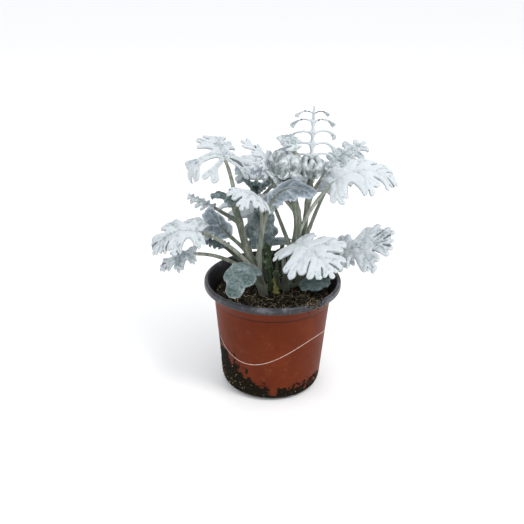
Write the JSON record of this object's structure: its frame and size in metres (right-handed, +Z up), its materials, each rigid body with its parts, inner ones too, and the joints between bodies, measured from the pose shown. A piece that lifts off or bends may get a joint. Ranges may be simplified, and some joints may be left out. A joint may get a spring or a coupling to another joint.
{
  "type": "potted dusty miller",
  "caption": "Bushy felted silver-white foliage plant with deeply lobed leaves on stalks, growing in a small round two-tone plastic nursery pot.",
  "frame": {"origin": "middle of the pot's base, on the surface that the pot stands on", "axes": "+Z up along the pot's axis, -Y towards the front of the plant, +X to its right seen from the front"},
  "size_m": [0.1811, 0.1418, 0.2199],
  "materials": {
    "pot_plastic": "thin two-tone plastic, terracotta outside and dark grey inside, satin, with smears of soil",
    "potting_soil": "moist peat with short fibres",
    "stem_felt": "green-grey stem under short pale felt",
    "leaf_felt": "dense silver-white felt on top, thinner and slate-grey underneath"
  },
  "bodies": {
    "root": {"pot": "pot_plastic", "soil": "potting_soil", "stem_back": "stem_felt", "stem_left": "stem_felt", "stem_middle": "stem_felt", "stem_right": "stem_felt", "leaf_back_1": "leaf_felt", "leaf_back_2": "leaf_felt", "leaf_back_3": "leaf_felt", "leaf_back_4": "leaf_felt", "leaf_back_5": "leaf_felt", "leaf_back_6": "leaf_felt", "leaf_back_7": "leaf_felt", "leaf_left_1": "leaf_felt", "leaf_left_2": "leaf_felt", "leaf_left_3": "leaf_felt", "leaf_left_4": "leaf_felt", "leaf_left_5": "leaf_felt", "leaf_left_6": "leaf_felt", "leaf_left_7": "leaf_felt", "leaf_left_8": "leaf_felt", "leaf_left_9": "leaf_felt", "leaf_middle_1": "leaf_felt", "leaf_middle_2": "leaf_felt", "leaf_middle_3": "leaf_felt", "leaf_middle_4": "leaf_felt", "leaf_middle_5": "leaf_felt", "leaf_middle_6": "leaf_felt", "leaf_middle_7": "leaf_felt", "leaf_right_1": "leaf_felt", "leaf_right_2": "leaf_felt", "leaf_right_3": "leaf_felt", "leaf_right_4": "leaf_felt", "leaf_right_5": "leaf_felt", "leaf_right_6": "leaf_felt"}
  },
  "joints": []
}
